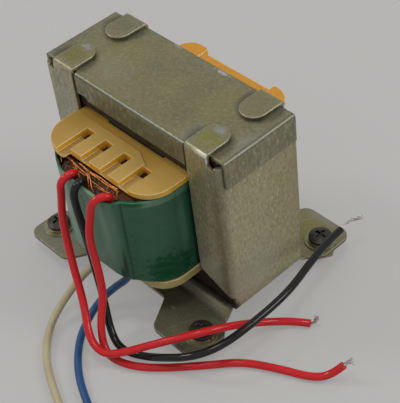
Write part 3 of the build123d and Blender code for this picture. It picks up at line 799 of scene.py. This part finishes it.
def smoothMesh(name, points, faces):
    mesh = bpy.data.meshes.new(name)
    mesh.from_pydata((points.reshape(-1, 3) * mm).tolist(), [], faces)
    mesh.update()
    mesh.shade_smooth()
    return mesh


# the quads between neighbours of a grid of point numbers
def gridQuads(index):
    corners = [index[..., :-1, :-1], index[..., :-1, 1:], index[..., 1:, 1:], index[..., 1:, :-1]]
    return np.stack(corners, -1).reshape(-1, 4).tolist()


# a grid of points in millimetres becomes quads between neighbours; it wraps round where it is closed
def gridMesh(name, points, closeRows=False, closeColumns=False, capEnds=False):
    rows, columns = points.shape[:2]
    index = np.arange(rows * columns).reshape(rows, columns)
    ends = [index[0][::-1].tolist(), index[-1].tolist()] if capEnds else []
    if closeRows:
        index = np.vstack([index, index[:1]])
    if closeColumns:
        index = np.hstack([index, index[:, :1]])
    return smoothMesh(name, points, gridQuads(index) + ends)


# two normals of a line at each of its points: across the line and a fixed way, then across both
def crossWays(lines, fixedWay):
    along = np.gradient(lines, axis=-2)
    along /= np.linalg.norm(along, axis=-1, keepdims=True)
    acrossOne = np.cross(along, np.array(fixedWay))
    acrossOne /= np.linalg.norm(acrossOne, axis=-1, keepdims=True)
    return acrossOne, np.cross(along, acrossOne)


tubeWay = (0.21, 0.34, 0.92)  # no tube runs along this way


# many round tubes at once: each ring is the line's point plus the radius times cosine and sine of the
# turn along two normals of the line
def tubeSet(name, lines, radius, sides):
    count, steps = lines.shape[:2]
    acrossOne, acrossTwo = crossWays(lines, tubeWay)
    turn = np.linspace(0, 2 * np.pi, sides, endpoint=False)[:, None]
    radius = np.broadcast_to(np.asarray(radius, float), (count, steps))[:, :, None, None]
    ring = np.cos(turn) * acrossOne[:, :, None] + np.sin(turn) * acrossTwo[:, :, None]
    index = np.arange(count * steps * sides).reshape(count, steps, sides)
    caps = index[:, 0, ::-1].tolist() + index[:, -1].tolist()
    quads = gridQuads(np.concatenate([index, index[:, :, :1]], 2))
    return smoothMesh(name, lines[:, :, None] + radius * ring, quads + caps)


# leads: each route is in millimetres and is the control line of one smooth spline; the strands go on from
# its end and splay at their tips
leads = {
    "redLeadLeft": {
        "node": "red_lead_left",
        "colour": "red",
        "length": 0.1227,
        "route": [
            (-6, -27.9, 43.55), (-6, -27.65, 45.9), (-6.05, -30.75, 47.8), (-6.65, -33.65, 46.15),
            (-7.4, -33.6, 41.9), (-8, -34.8, 33.5), (-4, -37.4, 22.5), (3.6, -41, 12.6),
            (9.6, -45.4, 7.2), (14.8, -46, 5.2), (18.8, -43.6, 5.6), (24.7, -36.1, 7.6),
            (34.2, -26.8, 11.9), (36.9, -17.6, 9), (38.7, -8.7, 4.1), (43.8, -0.8, 1.6), (47.6, 1.6, 1.5),
        ],
        "strands": [(48.9, 2.421, 1.466), (48.7, 2.9, 4.2)],
        "splay": 1.5,
    },
    "redLeadRight": {
        "node": "red_lead_right",
        "colour": "red",
        "length": 0.1236,
        "route": [
            (8.2, -27.9, 43.55), (8.6, -27.9, 45.85), (7.4, -30.35, 47.9), (6, -33.3, 46.7),
            (5.2, -34, 42.1), (4.3, -35.4, 34), (6.2, -35.8, 24.5), (8, -37, 16),
            (9.4, -40.8, 8.6), (12.6, -43.4, 3), (17.2, -43.6, 1.4), (25.6, -39.6, 1.4),
            (36.8, -27.8, 1.4), (43, -20.4, 1.4), (52, -15.4, 1.4), (60.6, -11.6, 1.4),
            (64.2, -8, 2.4), (66, -5.5, 5.6),
        ],
        "strands": [(66.7, -4.5, 6.8), (67.3, -3.4, 6.6)],
        "splay": 1.8,
    },
    "blackLead": {
        "node": "black_lead",
        "colour": "black",
        "length": 0.1452,
        "route": [
            (-2.6, -27.9, 43.55), (-2.2, -27.65, 45.95), (-1.7, -30.6, 47.9), (-1.25, -33.6, 46.3),
            (-1.45, -33.65, 41.5), (-0.5, -33.4, 32.5), (0.2, -33.3, 22.5), (4.2, -35, 10.8),
            (10.4, -38.8, 3), (15.8, -39.8, 1.4), (21.9, -37.7, 2), (28.5, -36, 5.3),
            (36.8, -32.4, 9.1), (41.2, -24.8, 10.6), (41.9, -12, 11.1), (41.4, 0.2, 11.3),
            (38.2, 12.5, 11.2), (36.4, 21.7, 11.1), (35.8, 27.1, 10.7),
        ],
        "strands": [(35.633, 28.6, 10.589), (35.9, 31.8, 11.7), (36.6, 35, 10.3)],
        "splay": 0.9,
    },
    "creamLead": {
        "node": "cream_lead",
        "colour": "cream",
        "length": 0.0684,
        "route": [
            (-3, -28.65, 23.25), (-3.1, -28.9, 19), (-4, -30.2, 14.4), (-7, -34.2, 9.8),
            (-7.6, -42, 4.6), (-5.4, -49, 1.4), (2, -56, 1.4), (13.5, -61.8, 1.4), (25.4, -66.2, 1.4),
        ],
        "strands": [(28, -67.2, 1.4), (30.4, -68, 1.2)],
        "splay": 0.7,
    },
    "blueLead": {
        "node": "blue_lead",
        "colour": "blue",
        "length": 0.0670,
        "route": [
            (10.2, -28.42, 23.25), (10, -28.5, 19.4), (8.2, -29.2, 15.6), (4.2, -30.4, 11),
            (0.6, -33.4, 6), (0.4, -38.8, 2.4), (4.4, -46, 1.4), (12.5, -53, 1.4),
            (22.4, -57.8, 1.4), (31.8, -61.2, 1.4),
        ],
        "strands": [(34.3, -62.2, 1.4), (36.7, -63, 1.2)],
        "splay": 0.7,
    },
}
leadSize = {
    "radius": 1.1,
    "roundness": 7,
    "smoothness": 10,
    "order": 3,
    "strandsRound": 6,
    "strandRadius": 0.15,
    "strandRing": 0.31,
    "strandTurns": 0.9,
    "strandSides": 7,
    "strandWay": (0.3, 0.25, 0.92),
    "wander": (0.55, 1.45),
    "floorGap": 0.05,
}


def routeCurve(name, route):
    curve = bpy.data.curves.new(name, "CURVE")
    curve.dimensions = "3D"
    spline = curve.splines.new("NURBS")
    spline.points.add(len(route) - 1)
    spline.points.foreach_set("co", np.c_[np.array(route) * mm, np.ones(len(route))].ravel())
    spline.order_u = leadSize["order"]
    spline.use_endpoint_u = True
    curve.resolution_u = leadSize["smoothness"]
    return curve


# the spline's own points, in millimetres
def splinePoints(route):
    curve = routeCurve("routeLine", route)
    holder = bpy.data.objects.new("routeLine", curve)
    line = bpy.data.meshes.new_from_object(holder)
    flat = np.empty(len(line.vertices) * 3)
    line.vertices.foreach_get("co", flat)
    bpy.data.objects.remove(holder)
    bpy.data.meshes.remove(line)
    bpy.data.curves.remove(curve)
    return flat.reshape(-1, 3) / mm


# bare end: one strand in the middle and others round it, each a helix about the line that opens with the
# cube of the share of its length, by an amount of its own, and stays above the floor
def strandEnd(name, route, splay, seed):
    line = splinePoints(route)
    share = np.linspace(0, 1, len(line))
    acrossOne, acrossTwo = crossWays(line, leadSize["strandWay"])
    count = leadSize["strandsRound"]
    wander = np.random.default_rng(seed).uniform(*leadSize["wander"], count)
    turn = np.arange(count)[:, None] * 2 * np.pi / count + 2 * np.pi * leadSize["strandTurns"] * share
    ring = leadSize["strandRing"] * (1 + splay * wander[:, None] * share**3)
    away = np.cos(turn)[:, :, None] * acrossOne + np.sin(turn)[:, :, None] * acrossTwo
    outer = line + ring[:, :, None] * away
    outer[:, :, 2] = np.maximum(outer[:, :, 2], leadSize["strandRadius"] + leadSize["floorGap"])
    strands = np.concatenate([line[None], outer])
    return tubeSet(name, strands, leadSize["strandRadius"], leadSize["strandSides"])


# a round cord along the route, and its bare end as a piece of its own
def makeLead(name, lead, seed):
    curve = routeCurve(name, lead["route"])
    curve.bevel_depth = leadSize["radius"] * mm
    curve.bevel_resolution = leadSize["roundness"]
    curve.use_fill_caps = True
    curve.materials.append(finishes[lead["colour"] + "Skin"])
    cord = linkObject(name, curve)
    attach(cord, "root")
    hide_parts(lead["node"])
    bareRoute = lead["route"][-1:] + lead["strands"]
    strands = strandEnd(name + "Strands", bareRoute, lead["splay"], seed)
    bareEnd = addPiece(name + "Strands", strands, "tinnedStrand")
    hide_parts(lead["node"] + "_strands")


for order, (leadName, lead) in enumerate(leads.items()):
    makeLead(leadName, lead, order)
print("leads made:", len(leads))


# coil tape: a rounded rectangle carried up the coil; its last layer steps out at the lap, its top edge
# dips where the leads come out, and small creases lift it
tapeWrap = {
    "halfWidth": 20.65,
    "front": -31.05,
    "back": 25.95,
    "corner": 14.05,
    "cornerSteps": 60,
    "thick": 0.66,
    "low": 21.0,
    "skirtFront": -13.0,
    "skirt": [(15.0, 19.65), (20.5, 18.35)],
    "high": 48.55,
    "dip": [(-16.7, 48.55), (-13.6, 46.0), (9.3, 46.0), (12.6, 48.55)],
    "dipFront": -20.0,
    "dipSmooth": 11,
    "dipWave": 0.10,
    "dipWaveRound": 0.9,
    "dipBelow": 48.3,
    "lapAt": 20.0,
    "lapStep": 0.2,
    "lapLean": 0.06,
    "lapMiddle": 35.0,
    "lapReach": 0.0012,
    "lapSteps": 9,
    "heldShare": 0.3,
    "heldWithin": 14.0,
    "around": 560,
    "upward": 44,
    "inwardStep": 4,
}
# a slow wave, a crease that runs up the wrap at a slant, and crinkles round one place; places are the
# distance round the wrap and the height
tapeWave = {"depth": 0.10, "round": 0.31, "up": 0.12, "start": 0.4, "sway": 0.5, "swayUp": 0.18}
tapeCrease = {
    "at": (8.6, 19.9), "slant": (0.89, 0.455), "width": 0.7, "middle": 29, "reach": 8, "depth": 0.16
}
tapeCrinkle = {
    "at": (30, 24), "reach": (5.5, 3.2), "depth": 0.17,
    "up": 2.3, "round": 0.45, "sway": 1.2, "swayRound": 0.6,
}


# one at the middle, falling as e to the minus square of the distance over the reach
def bell(value, middle, reach):
    return np.exp(-(((value - middle) / reach) ** 2))


# the outline's points and normals at shares of its length: straight runs and quarter turns in order, read
# off by distance
def tapePath(shares):
    inX = tapeWrap["halfWidth"] - tapeWrap["corner"]
    lowY = tapeWrap["front"] + tapeWrap["corner"]
    highY = tapeWrap["back"] - tapeWrap["corner"]
    turn = np.linspace(0, np.pi / 2, tapeWrap["cornerSteps"])
    centres = [(inX, lowY), (inX, highY), (-inX, highY), (-inX, lowY)]
    parts = [np.array([[-inX, tapeWrap["front"], 0.0, -1.0]])]
    for quarter, centre in enumerate(centres):
        angle = (quarter - 1) * np.pi / 2 + turn
        normal = np.c_[np.cos(angle), np.sin(angle)]
        parts.append(np.c_[np.array(centre) + tapeWrap["corner"] * normal, normal])
    table = np.vstack(parts)
    reach = np.r_[0, np.cumsum(np.linalg.norm(np.diff(table[:, :2], axis=0), axis=1))]
    run = shares * reach[-1]
    values = np.stack([np.interp(run, reach, column) for column in table.T], 1)
    normal = values[:, 2:] / np.linalg.norm(values[:, 2:], axis=1, keepdims=True)
    return values[:, :2], normal, run, reach[-1]


# the top edge follows the dip in front, smoothed, with a small wave where it is low
def tapeTop(place, run):
    frontSide = place[:, 1] < tapeWrap["dipFront"]
    top = np.where(frontSide, np.interp(place[:, 0], *zip(*tapeWrap["dip"])), tapeWrap["high"])
    kernel = np.hanning(tapeWrap["dipSmooth"])
    half = tapeWrap["dipSmooth"] // 2
    top = np.convolve(np.r_[top[-half:], top, top[:half]], kernel / kernel.sum(), "valid")
    wave = np.sin(run * tapeWrap["dipWaveRound"])
    return top + tapeWrap["dipWave"] * wave * frontSide * (top < tapeWrap["dipBelow"])


# how far the film stands off the coil: a slow wave, the crease and the crinkles in front and behind, and
# only a share of the wave where the core holds it
def tapeRelief(place, run, height):
    sway = tapeWave["sway"] * np.sin(height * tapeWave["swayUp"])
    wave = np.sin(run * tapeWave["round"] + sway) * np.sin(height * tapeWave["up"] + tapeWave["start"])
    wave = tapeWave["depth"] * wave
    (runAt, heightAt), (runWay, heightWay) = tapeCrease["at"], tapeCrease["slant"]
    across = (run - runAt) * runWay - (height - heightAt) * heightWay
    crease = bell(across, 0, tapeCrease["width"]) * bell(height, tapeCrease["middle"], tapeCrease["reach"])
    (runAt, heightAt), (runReach, heightReach) = tapeCrinkle["at"], tapeCrinkle["reach"]
    crinkle = bell(run, runAt, runReach) * bell(height, heightAt, heightReach)
    sway = tapeCrinkle["sway"] * np.sin(run * tapeCrinkle["swayRound"])
    crinkle = crinkle * np.sin(height * tapeCrinkle["up"] + run * tapeCrinkle["round"] + sway)
    free = (np.abs(place[:, 1]) > tapeWrap["heldWithin"])[:, None]
    loose = wave + tapeCrease["depth"] * crease + tapeCrinkle["depth"] * crinkle
    return np.where(free, loose, tapeWrap["heldShare"] * wave)


# the wrap's grid: up the outside, over the top edge, down the inside; the lap adds a step that grows once
# round the coil
def tapeMesh():
    lapShare = tapeWrap["lapAt"] / tapePath(np.zeros(1))[3]
    lapSpots = lapShare + np.linspace(-tapeWrap["lapReach"], tapeWrap["lapReach"], tapeWrap["lapSteps"])
    shares = np.sort(np.r_[np.linspace(0, 1, tapeWrap["around"], endpoint=False), lapSpots])
    place, normal, run, total = tapePath(shares)
    top = tapeTop(place, run)
    hang = np.interp(np.abs(place[:, 0]), *zip(*tapeWrap["skirt"]))
    low = np.where(place[:, 1] < tapeWrap["skirtFront"], hang, tapeWrap["low"])
    rise = np.linspace(0, 1, tapeWrap["upward"])
    fall = rise[:: -tapeWrap["inwardStep"]]
    level = np.r_[rise, 1.0, fall, 0.0]
    depth = np.r_[np.zeros(len(rise)), 0.5, np.ones(len(fall)), 0.5]
    height = low[:, None] + level * (top - low)[:, None]
    lapRun = run - tapeWrap["lapAt"] - tapeWrap["lapLean"] * (height.mean(1) - tapeWrap["lapMiddle"])
    lift = tapeWrap["lapStep"] * (np.mod(lapRun, total) / total)[:, None]
    out = (lift + tapeRelief(place, run[:, None], height)) * (1 - depth) - depth * tapeWrap["thick"]
    flat = place[:, None] + normal[:, None] * out[:, :, None]
    return gridMesh("coilTape", np.dstack([flat, height]), closeRows=True, closeColumns=True)


coilTape = addPiece("coilTape", tapeMesh(), "greenFilm")
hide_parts("outer_tape")
print("tape made")


# coil shoulder: the varnished wire ends on the ledge, a section of Y and Z carried along the coil's front
shoulder = {
    "left": -13.3,
    "right": 13.6,
    "straight": 6.6,
    "corner": 13.0,
    "section": [(-26.2, 43.5), (-30.2, 43.5), (-30.2, 45.5), (-28.6, 46.8), (-26.25, 48.3)],
    "root": (-27.4, 44.2),
    "endPower": 8,
    "endLeast": 0.004,
    "ceiling": 48.5,
    "lump": 0.28,
    "lumpFrom": 45.2,
    "lumpOver": 1.5,
    "lumpLong": (1.7, 0.6),
    "lumpCross": (2.9, 0.8, 0.9),
    "lumpFine": (4.1, 3, 0.5),
    "along": 150,
    "round": 40,
}


# the section shrinks to its root at both ends, is drawn back round the right corner by the arc's sagitta, and
# gets lumps from products of sines on its upper part
def shoulderMesh():
    corner = np.array(shoulder["section"] + shoulder["section"][:1])
    reach = np.r_[0, np.cumsum(np.linalg.norm(np.diff(corner, axis=0), axis=1))]
    spot = np.linspace(0, reach[-1], shoulder["round"], endpoint=False)
    loop = np.c_[np.interp(spot, reach, corner[:, 0]), np.interp(spot, reach, corner[:, 1])]
    share = np.linspace(-1, 1, shoulder["along"])
    size = np.sqrt(np.clip(1 - np.abs(share) ** shoulder["endPower"], shoulder["endLeast"], 1))
    root = np.array(shoulder["root"])
    section = root + (loop - root) * size[:, None, None]
    lengthwise = shoulder["left"] + (share + 1) / 2 * (shoulder["right"] - shoulder["left"])
    past = np.clip(lengthwise - shoulder["straight"], 0, None)
    sagitta = shoulder["corner"] - np.sqrt(shoulder["corner"] ** 2 - past**2)
    y = section[:, :, 0] + sagitta[:, None]
    z = section[:, :, 1]
    x = np.broadcast_to(lengthwise[:, None], y.shape)
    exposed = np.clip((z - shoulder["lumpFrom"]) / shoulder["lumpOver"], 0, 1)
    longX, longY = shoulder["lumpLong"]
    crossY, sway, swayX = shoulder["lumpCross"]
    fineX, fineY, fineShare = shoulder["lumpFine"]
    lump = np.sin(x * longX + longY * y) * np.sin(y * crossY + sway * np.sin(x * swayX))
    lump = lump + fineShare * np.sin(x * fineX + y * fineY)
    z = z + np.minimum(shoulder["lump"] * exposed * lump, shoulder["ceiling"] - z)
    return gridMesh("coilShoulder", np.dstack([x, y, z])[:, ::-1], closeColumns=True, capEnds=True)


addPiece("coilShoulder", shoulderMesh(), "coilWire")


# loose copper: each wire is a radius and the four control points of a cubic curve
copperEnds = {
    "steps": 90,
    "sides": 8,
    "waver": 0.07,
    "waverAcross": (14, 1.7),
    "waverUp": (11, 2.3),
    "ceiling": 48.45,
    "wires": [
        (0.18, [(-6.5, -26.7, 48.2), (-2.5, -27.2, 48.45), (4, -26.7, 48.45), (8.8, -26.5, 48.2)]),
        (0.15, [(-4.5, -26.9, 48), (0, -27.5, 48.3), (5, -27.1, 48.3), (9.6, -26.9, 47.9)]),
        (0.15, [(-12.2, -27, 47.9), (-8, -27.4, 48.2), (-4, -27.6, 47.9), (1, -28.3, 46.9)]),
        (0.13, [(-10.8, -26.8, 48.2), (-8.5, -27, 48.4), (-6.5, -28.2, 47.6), (-3.6, -29, 46.4)]),
        (0.16, [(-2.6, -26.6, 48.1), (-1.2, -27.9, 48.6), (1, -29.2, 47.8), (2.4, -29.9, 45.4)]),
        (0.12, [(-3.4, -26.6, 48.1), (-1.8, -28.2, 48.6), (0.2, -29, 47.6), (0.6, -29.9, 45.4)]),
        (0.15, [(7.8, -26.5, 48), (5.6, -26.8, 48.7), (5.9, -28.5, 48), (7.2, -28.9, 46)]),
        (0.15, [(9.9, -26.4, 48), (9.2, -27.2, 48.8), (10.2, -28.4, 47.9), (10.9, -28.6, 45.8)]),
        (0.14, [(-11.8, -26.6, 48), (-13.6, -26.6, 48.7), (-13.6, -27.8, 48), (-12.6, -28.4, 46.2)]),
        (0.11, [(-9, -27.9, 47), (-3, -28.5, 47.5), (2, -28.2, 47.6), (8, -28.4, 46.6)]),
        (0.11, [(1, -28.8, 46.4), (3.5, -28.9, 47.3), (6, -28.4, 47.3), (10.4, -27.8, 46.9)]),
    ],
}


# the control points in the cubic's four weights, plus a small sine across and a cosine up, under the flange
def copperMesh():
    radii, control = zip(*copperEnds["wires"])
    share = np.linspace(0, 1, copperEnds["steps"])
    rest = 1 - share
    weight = np.stack([rest**3, 3 * share * rest**2, 3 * share**2 * rest, share**3])
    lines = np.einsum("wpc,ps->wsc", np.array(control), weight)
    order = np.arange(len(lines))[:, None]
    along, each = copperEnds["waverAcross"]
    lines[:, :, 1] += copperEnds["waver"] * np.sin(along * share + each * order)
    along, each = copperEnds["waverUp"]
    lines[:, :, 2] += copperEnds["waver"] * np.cos(along * share + each * order)
    lines[:, :, 2] = np.minimum(lines[:, :, 2], copperEnds["ceiling"])
    return tubeSet("copperEnds", lines, np.array(radii)[:, None], copperEnds["sides"])


addPiece("copperEnds", copperMesh(), "copperStrand")
print("coil ends made")


# studio: plain pale floor that keeps a light shadow, even surround and three soft lamps
studio = {
    "floor": (0.47, 0.462, 0.452),
    "floorRough": 0.85,
    "floorHalf": 1.5,
    "evenShare": 0.5,
    "surround": (0.57, 0.57, 0.565),
    "aim": (0, 0, 0.02),
    "lamps": {
        "leftKey": {"place": (-0.58, -0.36, 0.72), "size": 0.2, "power": 1.7},
        "rightKey": {"place": (0.6, 0.43, 0.66), "size": 0.3, "power": 2.3},
        "overhead": {"place": (0.1, -0.1, 1.1), "size": 0.25, "power": 1.7},
    },
}


# where the floor is seen or mirrored, a share of its look is an even glow of its own colour
def makeFloor():
    half = studio["floorHalf"]
    mesh = bpy.data.meshes.new("paleFloor")
    corners = [(-half, -half, 0), (half, -half, 0), (half, half, 0), (-half, half, 0)]
    mesh.from_pydata(corners, [], [(0, 1, 2, 3)])
    floor = linkObject("paleFloor", mesh)
    floorColour = (*studio["floor"], 1)
    values = {"Base Color": floorColour, "Roughness": studio["floorRough"]}
    material, shader = newFinish("paleFloor", values)[:2]
    tree = material.node_tree
    path = put(tree, "ShaderNodeLightPath").outputs
    seen = mathOf("MAXIMUM", path["Is Camera Ray"], path["Is Glossy Ray"])
    seen = mathOf("MAXIMUM", seen, path["Is Transmission Ray"])
    even = put(tree, "ShaderNodeEmission", values={"Color": floorColour})
    both = put(tree, "ShaderNodeMixShader")
    join(times(seen, studio["evenShare"]), both.inputs[0])
    join(shader.outputs[0], both.inputs[1])
    join(even.outputs[0], both.inputs[2])
    join(both.outputs[0], tree.nodes["Material Output"].inputs["Surface"])
    mesh.materials.append(material)


def makeLight():
    world = bpy.data.worlds.new("surround")
    bpy.context.scene.world = world
    world.use_nodes = True
    world.node_tree.nodes["Background"].inputs["Color"].default_value = (*studio["surround"], 1)
    for name, lamp in studio["lamps"].items():
        data = bpy.data.lights.new(name, "AREA")
        data.size = lamp["size"]
        data.energy = lamp["power"]
        light = linkObject(name, data)
        light.location = lamp["place"]
        aim = Vector(studio["aim"]) - Vector(lamp["place"])
        light.rotation_euler = aim.to_track_quat("-Z", "Y").to_euler()
    bpy.context.scene.view_settings.view_transform = "Standard"


makeFloor()
makeLight()
print("studio made")
